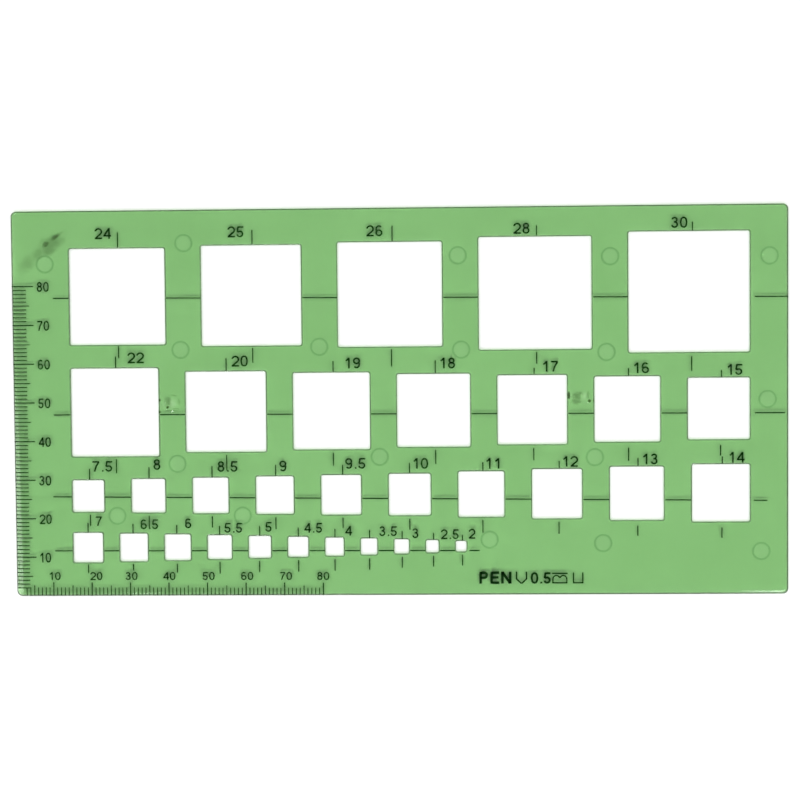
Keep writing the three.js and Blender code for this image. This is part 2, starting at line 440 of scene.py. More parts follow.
@dataclass(frozen=True)
class TintedPlastic:
    """Clear green acrylic: polished faces, moulding marks, some handling, painted shade at edges
    and marks.
    """

    absorbed: tuple[float, float, float, float] = (0.214, 0.541, 0.102, 1.0)
    absorption: float = 1000.0
    refraction: float = 1.49
    polish: float = 0.045
    shadow_pass: float = 0.96
    # Painted shade: the colour of the dark line along every edge of the outline and of the windows.
    painted_edge_shade: tuple[float, float, float, float] = (0.08, 0.11, 0.075, 1.0)
    # Painted shade: the colour of the darkening at the ejector pin marks and in the torn gate
    # faces.
    mark_shade_colour: tuple[float, float, float, float] = (0.48, 0.62, 0.5, 1.0)
    stain_tint: tuple[float, float, float, float] = (0.12, 0.2, 0.02, 1.0)
    stains: tuple[Stain, ...] = STAINS
    fine_under: float = 4.0
    stain_grains: tuple[float, float] = (420.0, 1400.0)
    streak_tint: tuple[float, float, float, float] = (0.95, 0.965, 0.94, 1.0)
    streak_scale: float = 45.0
    wave_scale: float = 90.0
    scratch_turn: float = 0.5
    scratch_scales: tuple[float, float, float] = (60.0, 2500.0, 60.0)
    scratch_depth: float = 0.00002
    chip_scale: float = 900.0
    chip_depth: float = 0.00014
    torn: tuple[Stain, ...] = (
        Stain(40.6, 49.0, 5.4, 3.6, 1.0, core=0.5, ragged=0.5),
        Stain(145.9, 50.3, 6.0, 3.6, 1.0, core=0.5, ragged=0.5),
    )

    def make(self, origin: Vector) -> bpy.types.Material:
        """Makes the material.

        Args:
            origin: The plate's lower left corner, in metres.

        Returns:
            The finished material.
        """
        material = bpy.data.materials.new("tinted_plastic")
        nodes = NodeTree(material)
        place = nodes.add("TexCoord").outputs["Object"]
        tint_and_shade = self.tint_and_shade(nodes, place, origin)
        plastic = nodes.add(
            "BsdfPrincipled",
            {
                "Base Color": tint_and_shade,
                "Roughness": self.polish,
                "IOR": self.refraction,
                "Transmission Weight": 1.0,
                "Normal": self.waviness(nodes, place, origin),
            },
        )
        clear = nodes.add("BsdfTransparent", {"Color": (*[self.shadow_pass] * 3, 1.0)})
        seen = nodes.add(
            "MixShader",
            {
                0: nodes.add("LightPath").outputs["Is Shadow Ray"],
                1: plastic.outputs["BSDF"],
                2: clear.outputs["BSDF"],
            },
        )
        inside = nodes.add(
            "VolumeAbsorption", {"Color": self.absorbed, "Density": self.absorption}
        )
        nodes.add(
            "OutputMaterial",
            {"Surface": seen.outputs["Shader"], "Volume": inside.outputs["Volume"]},
        )
        return material

    def waviness(
        self, nodes: NodeTree, place: bpy.types.NodeSocket, origin: Vector
    ) -> bpy.types.NodeSocket:
        """Adds the moulded face's waves, its fine scratches and its torn gates.

        Args:
            nodes: The material's node tree.
            place: The place on the plate.
            origin: The plate's lower left corner, in metres.

        Returns:
            The normal's socket.
        """
        waves = nodes.add("TexNoise", {"Vector": place, "Scale": self.wave_scale, "Detail": 2.0})
        stretched = nodes.add(
            "Mapping",
            {
                "Vector": place,
                "Rotation": (0, 0, self.scratch_turn),
                "Scale": self.scratch_scales,
            },
        )
        scratches = nodes.add(
            "TexNoise", {"Vector": stretched.outputs["Vector"], "Scale": 1.0, "Detail": 3.0}
        )
        fine = nodes.ramp(scratches.outputs["Fac"], 0.68, 0.8)
        soft = nodes.add(
            "Bump", {"Strength": 0.06, "Distance": 0.001, "Height": waves.outputs["Fac"]}
        )
        both = nodes.add(
            "Bump",
            {
                "Strength": 0.05,
                "Distance": self.scratch_depth,
                "Height": fine,
                "Normal": soft.outputs["Normal"],
            },
        )
        chips = nodes.add("TexVoronoi", {"Vector": place, "Scale": self.chip_scale})
        torn = self.stain_share(nodes, place, origin, self.torn)
        gates = nodes.add(
            "Bump",
            {
                "Strength": 1.0,
                "Distance": self.chip_depth,
                "Height": nodes.maths("MULTIPLY", torn, chips.outputs["Distance"]),
                "Normal": both.outputs["Normal"],
            },
        )
        return gates.outputs["Normal"]

    def tint_and_shade(
        self, nodes: NodeTree, place: bpy.types.NodeSocket, origin: Vector
    ) -> bpy.types.NodeSocket:
        """The surface's colour: clear but for streaks, an old smear, and painted shade at mould
        marks and edges.

        Args:
            nodes: The material's node tree.
            place: The place on the plate.
            origin: The plate's lower left corner, in metres.

        Returns:
            The tint's colour socket.
        """
        streaks = nodes.add(
            "TexNoise", {"Vector": place, "Scale": self.streak_scale, "Detail": 4.0}
        )
        streaked = nodes.ramp(streaks.outputs["Fac"], 0.3, 0.75)
        colour = nodes.mix_colour(streaked, WHITE, self.streak_tint)
        # Painted shade at the mould marks, as their layer gives it.
        mark_shade_share = nodes.add("Attribute", attribute_name="mould_mark_shade").outputs["Fac"]
        colour = nodes.mix_colour(mark_shade_share, colour, self.mark_shade_colour)
        stained = self.stain_share(nodes, place, origin, self.stains)
        colour = nodes.mix_colour(stained, colour, self.stain_tint)
        # Painted shade: a dark line along each edge, as the edge layer gives it.
        edge = nodes.add("Attribute", attribute_name="edge").outputs["Fac"]
        return nodes.mix_colour(edge, colour, self.painted_edge_shade)

    def stain_share(
        self,
        nodes: NodeTree,
        place: bpy.types.NodeSocket,
        origin: Vector,
        stains: tuple[Stain, ...],
    ) -> bpy.types.NodeSocket:
        """Finds how strongly a set of oval patches covers a place.

        Args:
            nodes: The material's node tree.
            place: The place on the plate.
            origin: The plate's lower left corner, in metres.
            stains: The patches.

        Returns:
            The share of the strongest patch, from 0 to 1.
        """
        frays = []
        for scale in self.stain_grains:
            grain = nodes.add("TexNoise", {"Vector": place, "Scale": scale, "Detail": 3.0})
            frays.append(nodes.maths("SUBTRACT", grain.outputs["Fac"], 0.5))
        coarse, fine = frays
        share = None
        for stain in stains:
            rough = fine if stain.length < self.fine_under else coarse
            centred = nodes.add(
                "Mapping",
                {
                    "Vector": place,
                    "Location": (origin.x + stain.x * MM, origin.y + stain.y * MM, 0),
                    "Rotation": (0, 0, math.radians(stain.turn)),
                    "Scale": (stain.length / 2 * MM, stain.width / 2 * MM, 1.0),
                },
                vector_type="TEXTURE",
            ).outputs["Vector"]
            length = nodes.add("VectorMath", {0: centred}, operation="LENGTH").outputs["Value"]
            uneven = nodes.maths("MULTIPLY_ADD", rough, stain.ragged, length)
            own = nodes.maths("MULTIPLY", nodes.ramp(uneven, 1.05, stain.core), stain.depth)
            share = own if share is None else nodes.maths("MAXIMUM", share, own)
        return share


@dataclass(frozen=True)
class ScreenInk:
    """Opaque green-black screen printing ink."""

    colour: tuple[float, float, float, float] = (0.0005, 0.018, 0.0005, 1.0)
    worn: tuple[float, float, float, float] = (0.004, 0.038, 0.003, 1.0)

    def make(self) -> bpy.types.Material:
        """Makes the material.

        Returns:
            The finished material.
        """
        material = bpy.data.materials.new("printing_ink")
        nodes = NodeTree(material)
        place = nodes.add("TexCoord").outputs["Object"]
        grain = nodes.add("TexNoise", {"Vector": place, "Scale": 2600.0, "Detail": 3.0})
        patches = nodes.add("TexNoise", {"Vector": place, "Scale": 160.0, "Detail": 2.0})
        thin = nodes.ramp(patches.outputs["Fac"], 0.45, 0.75)
        relief = nodes.add(
            "Bump", {"Strength": 0.3, "Distance": 0.00003, "Height": grain.outputs["Fac"]}
        )
        film = nodes.add(
            "BsdfPrincipled",
            {
                "Base Color": nodes.mix_colour(thin, self.colour, self.worn),
                "Roughness": nodes.add(
                    "MapRange", {"Value": grain.outputs["Fac"], "To Min": 0.42, "To Max": 0.62}
                ).outputs["Result"],
                "Specular IOR Level": 0.03,
                "Normal": relief.outputs["Normal"],
            },
        )
        nodes.add("OutputMaterial", {"Surface": film.outputs["BSDF"]})
        return material


@dataclass(frozen=True)
class TableTop:
    """A white table top that keeps the plate's shadow and fades into the white background."""

    albedo: float = 0.97
    near: float = 0.22
    far: float = 0.6

    def make(self) -> bpy.types.Material:
        """Makes the material.

        Returns:
            The finished material.
        """
        material = bpy.data.materials.new("white_table")
        nodes = NodeTree(material)
        place = nodes.add("TexCoord").outputs["Object"]
        distance = nodes.add("VectorMath", {0: place}, operation="LENGTH").outputs["Value"]
        away = nodes.ramp(distance, self.near, self.far)
        paper = nodes.add("BsdfDiffuse", {"Color": (*[self.albedo] * 3, 1.0)})
        white = nodes.add("Emission", {"Color": WHITE, "Strength": nodes.watched_rays()})
        surface = nodes.add(
            "MixShader", {0: away, 1: paper.outputs["BSDF"], 2: white.outputs["Emission"]}
        )
        nodes.add("OutputMaterial", {"Surface": surface.outputs["Shader"]})
        return material


@dataclass(frozen=True)
class EjectorPin:
    """A round mark in the underside, counted from the web before a window of its row."""

    row: int
    gap: int
    shift: float
    rise: float


@dataclass(frozen=True)
class Hollow:
    """A smooth oval hollow in the underside, in plate millimetres."""

    x: float
    y: float
    half_length: float
    half_width: float
    depth: float

    def depth_at(self, x: float, y: float) -> float:
        """How deep the hollow is at a point."""
        far = ((x - self.x) / self.half_length) ** 2 + ((y - self.y) / self.half_width) ** 2
        return self.depth * max(0.0, 1 - far) ** 2


def roughness(point: Vector, per_mm: float, seed: float) -> float:
    """The noise of a torn face at a point of the plate, from -1 to 1."""
    return noise.noise(Vector((point.x * per_mm, point.y * per_mm, seed)))


@dataclass(frozen=True)
class GateScar:
    """Where a gate of the mould was cut off, beside a window's right edge."""

    row: int
    window: int
    rise: float
    length: float
    width: float
    hollows: tuple[Hollow, ...]


@dataclass(frozen=True)
class Rim:
    """The section of an edge: a shallow lip, and then the round edge itself with its painted shade.

    The shoulder, the lip's start and its foot are ways into the plastic.
    """

    shoulder: float
    lip: float
    foot: float
    sink: float
    # How dark the painted shade along this edge is.
    tint_and_shade: float


@dataclass
class Plate:
    """The moulded plate: its outline, windows, bevel and moulding marks."""

    layout: Layout
    length: float
    width: float
    thickness: float
    skin: float = 0.002
    corner_radius: float = 1.4
    corner_steps: int = 12
    window_radius: float = 0.45
    window_steps: int = 5
    edge_radius: float = 0.16
    edge_steps: int = 4
    lip_steps: int = 6
    outline_rim: Rim = Rim(shoulder=1.05, lip=0.95, foot=0.4, sink=0.035, tint_and_shade=1.0)
    window_rim: Rim = Rim(shoulder=0.85, lip=0.78, foot=0.34, sink=0.015, tint_and_shade=0.75)
    lower_rim: Rim = Rim(shoulder=0.5, lip=0.45, foot=0.36, sink=0.0, tint_and_shade=0.75)
    shade: float = 0.35
    shade_slope: float = 2.6
    bevel_foot: float = 1.9
    bevel_head: float = 0.8
    bevel_drop: float = 0.5
    crest_blend: float = 0.3
    pin_radius: float = 2.1
    pin_step: float = 0.8
    pin_depth: float = 0.1
    # The painted shade on a pin mark's floor.
    pin_floor_shade: float = 0.22
    pin_sides: int = 40
    pin_levels: int = 6
    pins: tuple[EjectorPin, ...] = (
        EjectorPin(0, 0, 1.1, 8.5),
        EjectorPin(0, 1, 0.2, 13.6),
        EjectorPin(0, 1, -0.9, -13.8),
        EjectorPin(0, 2, -0.2, -13.3),
        EjectorPin(0, 3, -0.6, 9.8),
        EjectorPin(0, 3, 0.1, -14.3),
        EjectorPin(0, 4, 0.1, 9.2),
        EjectorPin(0, 4, -0.9, -15.2),
        EjectorPin(0, 5, 0.2, 9.0),
        EjectorPin(1, 1, 1.1, -13.4),
        EjectorPin(1, 3, -1.1, -11.9),
        EjectorPin(1, 7, -0.3, 2.3),
        EjectorPin(2, 1, -0.3, -5.2),
        EjectorPin(2, 3, 0.0, -5.3),
        EjectorPin(2, 7, -7.4, -11.8),
        EjectorPin(2, 8, -0.2, 9.3),
        EjectorPin(2, 8, 1.8, -12.8),
        EjectorPin(2, 10, -1.9, -15.0),
    )
    scars: tuple[GateScar, ...] = (
        GateScar(
            row=1,
            window=0,
            rise=1.6,
            length=5.3,
            width=5.0,
            hollows=(Hollow(38.9, 49.7, 0.8, 1.8, 0.24), Hollow(41.3, 49.9, 1.5, 2.1, 0.36)),
        ),
        GateScar(
            row=1,
            window=4,
            rise=3.0,
            length=6.2,
            width=4.6,
            hollows=(Hollow(143.6, 51.2, 0.9, 1.6, 0.3), Hollow(147.0, 50.8, 0.9, 1.8, 0.32)),
        ),
    )
    scar_depth: float = 0.035
    scar_cell: float = 0.14
    scar_gap: float = 0.02
    scar_swell: tuple[float, float] = (0.9, 3.1)
    scar_grain: tuple[float, float] = (2.6, 7.7)
    # The painted shade in a torn gate face's grain.
    scar_shade: float = 0.6

    def __post_init__(self) -> None:
        """Starts the mesh and the two layers of painted shade that its material reads: mould marks
        and edges.
        """
        self.bm = bmesh.new()
        self.mark_shade = self.bm.verts.layers.float.new("mould_mark_shade")
        self.edge = self.bm.verts.layers.float.new("edge")

    @property
    def top(self) -> float:
        """The height of the top face, a hair under the ink's underside."""
        return self.thickness - self.skin

    @property
    def outline(self) -> Rectangle:
        """The plate's outline."""
        return Rectangle(0.0, self.length, 0.0, self.width)

    @property
    def to_frame(self) -> Matrix:
        """Turns the plate's millimetres into the frame's metres."""
        shift = Matrix.Translation((-self.length / 2 * MM, -self.width / 2 * MM, 0))
        return shift @ Matrix.Scale(MM, 4)

    def crest_distance(self, point: Vector) -> float:
        """How far a point lies on the bevel's side of the bevel's crest, along X."""
        share = point.y / self.width
        return self.bevel_foot + (self.bevel_head - self.bevel_foot) * share - point.x

    def drop(self, point: Vector) -> float:
        """Finds how far the bevel lowers the top face, with a soft crest.

        Args:
            point: A point on the plate, in plate millimetres.

        Returns:
            The way down at that point.
        """
        slope = self.bevel_drop / self.bevel_foot
        past = self.crest_distance(point)
        if past <= -self.crest_blend:
            return 0.0
        if past >= self.crest_blend:
            return slope * past
        return slope * (past + self.crest_blend) ** 2 / (4 * self.crest_blend)

    def cut_at_crest(self, bm: bmesh.types.BMesh) -> None:
        """Cuts a flat mesh along the crest and along both ends of its soft blend.

        Args:
            bm: The mesh, in plate millimetres.
        """
        lean = Vector((self.width, self.bevel_foot - self.bevel_head, 0)).normalized()
        for shift in (-self.crest_blend, -self.crest_blend / 2, 0, self.crest_blend):
            bmesh.ops.bisect_plane(
                bm,
                geom=bm.verts[:] + bm.edges[:] + bm.faces[:],
                dist=1e-5,
                plane_co=(self.bevel_foot - shift, 0, 0),
                plane_no=lean,
            )

    def rim_levels(self, rim: Rim) -> list[tuple[float, float, float]]:
        """Samples the section of an edge.

        Args:
            rim: The edge's section.

        Returns:
            A way into the plastic, a way down and the painted edge shade at each level, from the
            face outwards.
        """
        ways = [(rim.shoulder, 0.0)]
        for step in range(self.lip_steps + 1):
            share = step / self.lip_steps
            fall = (1 - math.cos(math.pi * share)) / 2
            ways.append((rim.lip + (rim.foot - rim.lip) * share, rim.sink * fall))
        ways.append(((rim.foot + self.edge_radius) / 2, rim.sink))
        for step in range(self.edge_steps + 1):
            turn = math.pi / 2 * step / self.edge_steps
            away = self.edge_radius * (1 - math.sin(turn))
            ways.append((away, rim.sink + self.edge_radius * (1 - math.cos(turn))))
        # The painted edge shade is full at the edge and fades out where the shade's reach ends.
        return [
            (way, down, rim.tint_and_shade * min(1.0, self.shade_slope * max(0.0, 1 - way / self.shade)))
            for way, down in ways
        ]

    def wall_levels(self, outer: bool) -> list[tuple[float, float, float]]:
        """Joins the sections of a wall's upper and lower edge.

        Args:
            outer: Whether the wall is the plate's outline.

        Returns:
            A way into the plastic, a height and the painted edge shade at each level, from the top
            down.
        """
        upper = self.rim_levels(self.outline_rim if outer else self.window_rim)
        lower = self.rim_levels(self.lower_rim)
        return [(way, self.top - down, tint_and_shade) for way, down, tint_and_shade in upper] + [
            (way, down, tint_and_shade) for way, down, tint_and_shade in reversed(lower)
        ]

    def ring(
        self, shape: Rectangle, radius: float, steps: int, height: float
    ) -> list[bmesh.types.BMEdge]:
        """Draws a rectangle with round corners.

        Args:
            shape: The rectangle.
            radius: The radius of its corners.
            steps: The steps in each corner.
            height: Its height.

        Returns:
            The ring's edges.
        """
        bm = self.bm
        sheet = bmesh.ops.create_grid(bm, x_segments=1, y_segments=1, size=0.5)["verts"]
        bmesh.ops.scale(bm, vec=(shape.width, shape.height, 1), verts=sheet)
        bmesh.ops.translate(bm, vec=(*shape.middle, height), verts=sheet)
        rounded = bmesh.ops.bevel(
            bm,
            geom=sheet,
            offset=radius,
            offset_type="OFFSET",
            segments=steps,
            profile=0.5,
            affect="VERTICES",
            material=-1,
        )
        face = max(rounded["verts"][0].link_faces, key=lambda f: len(f.verts))
        edges = list(face.edges)
        bmesh.ops.delete(bm, geom=[face], context="FACES_ONLY")
        return edges

    def sweep(
        self,
        edges: list[bmesh.types.BMEdge],
        core: Rectangle,
        levels: list[tuple[float, float, float]],
        layer: bmesh.types.BMLayerItem,
    ) -> tuple[list, list]:
        """Draws a ring of edges out into a wall, level by level.

        Args:
            edges: The ring.
            core: The rectangle that every ring keeps an even distance to.
            levels: That distance, the height and the layer's value at each level.
            layer: The layer that gets the values.

        Returns:
            The edges of the first ring and of the last one.
        """
        bm, first = self.bm, edges
        for number, (reach, height, value) in enumerate(levels):
            if number:
                drawn = bmesh.ops.extrude_edge_only(bm, edges=edges)["geom"]
                edges = [part for part in drawn if isinstance(part, bmesh.types.BMEdge)]
            for vert in {vert for edge in edges for vert in edge.verts}:
                nearest = Vector(
                    (
                        min(max(vert.co.x, core.left), core.right),
                        min(max(vert.co.y, core.bottom), core.top),
                        vert.co.z,
                    )
                )
                vert.co = nearest + (vert.co - nearest).normalized() * reach
                vert.co.z = height
                vert[layer] = value
        return first, edges

    def wall(self, shape: Rectangle, radius: float, steps: int, side: int) -> tuple[list, list]:
        """Builds the upright wall of the outline or of a window, with its soft edges.

        Args:
            shape: The wall's rectangle.
            radius: The radius of its corners.
            steps: The steps in each corner.
            side: 1 where the plastic lies outside the rectangle, and -1 where it lies inside.

        Returns:
            The edges of the top ring and of the bottom ring.
        """
        ring = self.ring(shape, radius, steps, self.top)
        # Each level's last value is the painted edge shade, which goes into the edge layer.
        levels = [
            (radius + side * way, height, tint_and_shade) for way, height, tint_and_shade in self.wall_levels(side < 0)
        ]
        return self.sweep(ring, shape.grown(-radius), levels, self.edge)

    def pin_mark(self, place: EjectorPin) -> list[bmesh.types.BMEdge]:
        """Sinks one ejector pin's mark into the underside and paints shade on its ring.

        Args:
            place: The pin's place.

        Returns:
            The edges of the mark's border.
        """
        row = self.layout.rows[place.row]
        x = self.layout.web_middle(row, place.gap) + place.shift
        y = self.layout.middle(row) + place.rise
        shares = [level / self.pin_levels for level in range(self.pin_levels + 1)]
        # Each level: a radius, a depth and the painted shade, darkest on the sloping ring and light
        # on the floor.
        profile = [
            (
                self.pin_radius + self.pin_step * (0.5 - share),
                self.pin_depth * (1 - math.cos(math.pi * share)) / 2,
                max(math.sin(math.pi * share), self.pin_floor_shade * share),
            )
            for share in shares
        ]
        disc = bmesh.ops.create_circle(
            self.bm, cap_ends=False, segments=self.pin_sides, radius=self.pin_radius
        )["verts"]
        bmesh.ops.translate(self.bm, vec=(x, y, 0), verts=disc)
        ring = list({edge for vert in disc for edge in vert.link_edges})
        border, floor = self.sweep(ring, Rectangle(x, x, y, y), profile, self.mark_shade)
        bmesh.ops.contextual_create(self.bm, geom=floor)
        return border

    def scar_patch(self, scar: GateScar) -> list[bmesh.types.BMEdge]:
        """Tears up the underside where a gate was cut off, with painted shade in its grain.

        Args:
            scar: The scar's place and size.

        Returns:
            The edges of the patch's border.
        """
        row = self.layout.rows[scar.row]
        window = self.layout.windows(row)[scar.window]
        y = self.layout.middle(row) + scar.rise
        left = window.right + self.lower_rim.shoulder + self.scar_gap
        right = window.right + scar.length
        columns = round((right - left) / self.scar_cell)
        lines = round(scar.width / self.scar_cell)
        verts = bmesh.ops.create_grid(
            self.bm, x_segments=columns, y_segments=lines, size=0.5
        )["verts"]
        bmesh.ops.scale(self.bm, vec=(right - left, scar.width, 1), verts=verts)
        bmesh.ops.translate(self.bm, vec=((left + right) / 2, y, 0), verts=verts)
        for vert in verts:
            across = 2 * (vert.co.y - y) / scar.width
            along = 2 * (vert.co.x - left) / (right - left) - 1
            mask = max(0.0, 1 - across**2) * max(0.0, 1 - along**4)
            coarse = roughness(vert.co, *self.scar_swell)
            fine = roughness(vert.co, *self.scar_grain)
            hollow = sum(part.depth_at(vert.co.x, vert.co.y) for part in scar.hollows)
            vert.co.z = mask * (hollow + self.scar_depth * max(0.0, 1 + coarse + fine))
            # Painted shade on the torn face where the fine grain falls below its mean.
            vert[self.mark_shade] = self.scar_shade * mask * max(0.0, -fine)
        return [edge for edge in {e for v in verts for e in v.link_edges} if edge.is_boundary]

    def build(self) -> bpy.types.Object:
        """Builds the plate's mesh and its object.

        Returns:
            The plate, without a material.
        """
        bm = self.bm
        tops, bottoms = self.wall(self.outline, self.corner_radius, self.corner_steps, -1)
        tops, bottoms = list(tops), list(bottoms)
        for row in self.layout.rows:
            for window in self.layout.windows(row):
                top, bottom = self.wall(window, self.window_radius, self.window_steps, 1)
                tops += top
                bottoms += bottom
        for pin in self.pins:
            bottoms += self.pin_mark(pin)
        for scar in self.scars:
            bottoms += self.scar_patch(scar)
        bmesh.ops.triangle_fill(bm, edges=tops, use_beauty=False, normal=(0, 0, 1))
        bmesh.ops.triangle_fill(bm, edges=bottoms, use_beauty=False, normal=(0, 0, -1))
        self.cut_at_crest(bm)
        for vert in bm.verts:
            vert.co.z -= self.drop(vert.co) * vert.co.z / self.top
        bmesh.ops.remove_doubles(bm, verts=bm.verts[:], dist=1e-5)
        bmesh.ops.recalc_face_normals(bm, faces=bm.faces[:])
        return finished_object("template_plate_moulding", bm, self.to_frame, smooth=True)


def mesh_from(name: str, bm: bmesh.types.BMesh) -> bpy.types.Mesh:
    """Turns a bmesh into a mesh and frees it.

    Args:
        name: The mesh's name.
        bm: The bmesh.

    Returns:
        The new mesh.
    """
    mesh = bpy.data.meshes.new(name)
    bm.to_mesh(mesh)
    bm.free()
    return mesh


def finished_object(
    name: str, bm: bmesh.types.BMesh, to_frame: Matrix, smooth: bool = False
) -> bpy.types.Object:
    """Turns a mesh in plate millimetres into an object in the frame.

    Args:
        name: The object's name.
        bm: The mesh, which is freed.
        to_frame: The way from plate millimetres to the frame's metres.
        smooth: Whether its faces are shaded smooth.

    Returns:
        The new object, riding on the template's body.
    """
    bmesh.ops.transform(bm, matrix=to_frame, verts=bm.verts[:])
    for face in bm.faces:
        face.smooth = smooth
    piece = bpy.data.objects.new(name, mesh_from(name, bm))
    bpy.context.scene.collection.objects.link(piece)
    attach(piece, BODY)
    return piece


@dataclass
class Print:
    """The ink on the plate's top face, as thin closed films."""

    plate: Plate
    ink: bpy.types.Material
    film: float = 0.05
    line: float = 0.29

    def bar(
        self, bm: bmesh.types.BMesh, start: tuple[float, float], end: tuple[float, float]
    ) -> None:
        """Lays one straight printed line flat on the face.

        Args:
            bm: The mesh that gets it.
            start: Where the line starts.
            end: Where it ends.
        """
        way = Vector((end[0] - start[0], end[1] - start[1], 0))
        verts = bmesh.ops.create_grid(bm, x_segments=3, y_segments=1, size=0.5)["verts"]
        bmesh.ops.scale(bm, vec=(way.length, self.line, 1), verts=verts)
        turned = Matrix.Rotation(math.atan2(way.y, way.x), 3, "Z")
        bmesh.ops.rotate(bm, cent=(0, 0, 0), matrix=turned, verts=verts)
        middle = ((start[0] + end[0]) / 2, (start[1] + end[1]) / 2, 0)
        bmesh.ops.translate(bm, vec=middle, verts=verts)

    def raise_film(self, bm: bmesh.types.BMesh) -> None:
        """Lays flat shapes on the plate's face and gives them the film's thickness.

        Args:
            bm: The flat shapes, in plate millimetres.
        """
        for vert in bm.verts:
            vert.co.z = self.plate.thickness - self.plate.drop(vert.co)
        made = bmesh.ops.extrude_face_region(bm, geom=bm.faces[:])["geom"]
        raised = [part for part in made if isinstance(part, bmesh.types.BMVert)]
        bmesh.ops.translate(bm, vec=(0, 0, self.film), verts=raised)
        bmesh.ops.recalc_face_normals(bm, faces=bm.faces[:])

    def finish(self, name: str, bm: bmesh.types.BMesh) -> bpy.types.Object:
        """Makes a flat drawing a finished piece of print.

        Args:
            name: The piece's name.
            bm: The flat drawing, in plate millimetres.

        Returns:
            The piece.
        """
        self.raise_film(bm)
        piece = finished_object(name, bm, self.plate.to_frame)
        piece.data.materials.append(self.ink)
        log.info("%s: %d faces", name, len(piece.data.polygons))
        return piece


@dataclass
class CentreTicks(Print):
    """The upright ticks above and below the windows."""

    def build(self) -> None:
        """Builds one piece of print for each row of windows."""
        for row in self.plate.layout.rows:
            bm = bmesh.new()
            windows = self.plate.layout.windows(row)
            for window, above, below in zip(windows, row.ticks_above, row.ticks_below):
                self.tick(bm, window, above, Side.ABOVE)
                self.tick(bm, window, below, Side.BELOW)
            self.finish(f"row_{row.number}_centre_ticks", bm)

    def tick(
        self, bm: bmesh.types.BMesh, window: Rectangle, tick: CentreTick, side: Side
    ) -> None:
        """Draws one tick at a window.

        Args:
            bm: The mesh that gets it.
            window: The window.
            tick: The tick's shift and ends.
            side: The side of the window that it stands on.
        """
        x = window.middle[0] + tick.shift
        edge = window.top if side is Side.ABOVE else window.bottom
        self.bar(bm, (x, edge + side.value * tick.near), (x, edge + side.value * tick.far))


@dataclass
class EdgeScale(Print):
    """The millimetre graduation along one edge, between its ten-millimetre marks."""

    line: float = 0.25
    edge: Edge = Edge.LEFT
    first: int = 2
    length: int = 80
    short: float = 3.5
    half: float = 4.3
    creep: float = -0.002
    zero_shift: float = 0.15
    turn: float = 0.25
    start: float = 0.12

    def build(self) -> bpy.types.Object:
        """Builds the scale's fine marks.

        Returns:
            The marks as one piece of print.
        """
        bm = bmesh.new()
        turned = math.radians(self.turn)
        for distance in range(self.first, self.length):
            if distance % 10 == 0:
                continue
            reach = self.half if distance % 5 == 0 else self.short
            along = distance + self.zero_shift
            if self.edge is Edge.LEFT:
                shift = (turned + self.creep) * along
                self.bar(bm, (self.start, along), (shift + reach, along - turned * reach))
            else:
                shift = turned * along
                self.bar(bm, (along, self.start), (along + turned * reach, reach - shift))
        self.plate.cut_at_crest(bm)
        return self.finish(f"{self.edge.value}_scale_fine_marks", bm)


@dataclass(frozen=True)
class Line:
    """A straight move of the pen."""

    length: float


@dataclass(frozen=True)
class Arc:
    """A round move of the pen. A positive angle turns left."""

    radius: float
    angle: float


@dataclass(frozen=True)
class Stroke:
    """One unbroken stroke: where it starts, where it heads and its moves.

    Lengths count the height of a capital as 1.
    """

    x: float
    y: float
    heading: float
    moves: tuple[Line | Arc, ...]


@dataclass(frozen=True)
class Glyph:
    """A sign of the printed alphabet with the room that it takes along the line."""

    advance: float
    strokes: tuple[Stroke, ...]


@dataclass(frozen=True)
class Oval:
    """An upright oval of four arcs that meet smoothly."""

    x: float
    y: float
    half_width: float
    half_height: float
    end_radius: float

    @property
    def side_radius(self) -> float:
        """The two long sides, which meet both ends smoothly.

        Returns:
            Their radius.
        """
        reach = self.half_height - self.end_radius
        spread = self.half_width**2 + reach**2 - self.end_radius**2
        return spread / (2 * (self.half_width - self.end_radius))

    @property
    def side_angle(self) -> float:
        """Half the angle of a long side."""
        reach = self.half_height - self.end_radius
        return math.degrees(math.asin(reach / (self.side_radius - self.end_radius)))

    def whole(self) -> Stroke:
        """Draws the whole oval.

        Returns:
            One stroke from its right side round to the left.
        """
        side = Arc(self.side_radius, self.side_angle)
        end = Arc(self.end_radius, 180 - 2 * self.side_angle)
        return Stroke(self.x + self.half_width, self.y, 90, (side, end, side, side, end, side))

    def hook(self, reach: float) -> Stroke:
        """Draws the upper part of the oval.

        Args:
            reach: How far the stroke goes on past the top, in degrees.

        Returns:
            One stroke from its left side over the top.
        """
        side = Arc(self.side_radius, -self.side_angle)
        end = Arc(self.end_radius, -(90 - self.side_angle) - reach)
        return Stroke(self.x - self.half_width, self.y, 90, (side, end))


def circle(x: float, y: float, radius: float) -> Stroke:
    """A full circle about a point."""
    return Stroke(x + radius, y, 90, (Arc(radius, 360),))


def straight(x: float, y: float, length: float, heading: float = 0) -> Stroke:
    """A straight stroke."""
    return Stroke(x, y, heading, (Line(length),))


def turned_over(strokes: tuple[Stroke, ...], width: float) -> tuple[Stroke, ...]:
    """Turns strokes half round within the height of a capital.

    Args:
        strokes: The strokes.
        width: The width that they are turned within.

    Returns:
        The turned strokes.
    """
    return tuple(
        Stroke(width - stroke.x, 1 - stroke.y, stroke.heading + 180, stroke.moves)
        for stroke in strokes
    )


